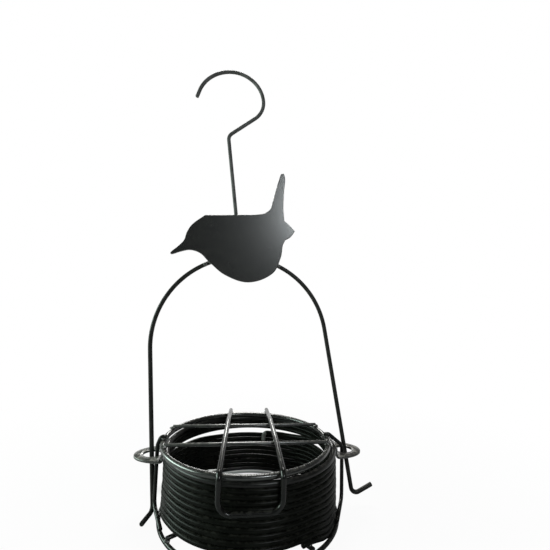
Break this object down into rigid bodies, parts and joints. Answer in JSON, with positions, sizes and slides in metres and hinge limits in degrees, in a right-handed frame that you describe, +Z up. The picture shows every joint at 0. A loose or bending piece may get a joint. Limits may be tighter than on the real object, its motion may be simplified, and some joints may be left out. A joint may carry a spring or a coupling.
{
  "type": "fat_ball_feeder",
  "caption": "Black wire fat ball feeder: stretchy coil cage on a barred base, barred lid on two legs, arched hanger with a cut-out bird and a hook",
  "frame": {"origin": "centre of the base ring's footprint on the table, on the coil's axis", "axes": "+Z up along the coil's axis; +X to the right of the bird's tail side, along the two ears; +Y from the pull loop at the front to the back"},
  "size_m": [0.1291, 0.0946, 0.2475],
  "materials": {
    "black_wire": "semi-gloss black coating on round steel wire",
    "black_spring_wire": "semi-gloss black coating on spring wire",
    "black_ear_sheet": "satin black coating on pressed steel sheet",
    "black_bird_sheet": "smooth satin black coating on cut steel sheet"
  },
  "bodies": {
    "base": {"base_ring": "black_wire", "lower_floor_bar": "black_wire", "upper_floor_bar": "black_wire", "cage_coil": "black_spring_wire"},
    "top": {"top_ring": "black_wire", "left_ear": "black_ear_sheet", "right_ear": "black_ear_sheet"},
    "lid": {"lid_ring": "black_wire", "lid_front_bar": "black_wire", "lid_rear_bar": "black_wire", "lid_pull_wire": "black_wire", "left_lid_leg": "black_wire", "right_lid_leg": "black_wire"},
    "hanger": {"hanger_arch": "black_wire", "bird_plate": "black_bird_sheet", "hanging_hook": "black_wire"}
  },
  "joints": [
    {"name": "coil_stretch", "type": "slide", "parent": "base", "child": "top", "axis": [0, 0, 1], "range_m": [0, 0.14], "stiffness_N_per_m": 22, "deforming": ["cage_coil"]},
    {"name": "lid_lift", "type": "slide", "parent": "top", "child": "lid", "axis": [0, 0, 1], "range_m": [0, 0.017]},
    {"name": "hanger_slide", "type": "slide", "parent": "top", "child": "hanger", "axis": [-0.1298, 0, 0.9915], "range_m": [0, 0.018]}
  ]
}
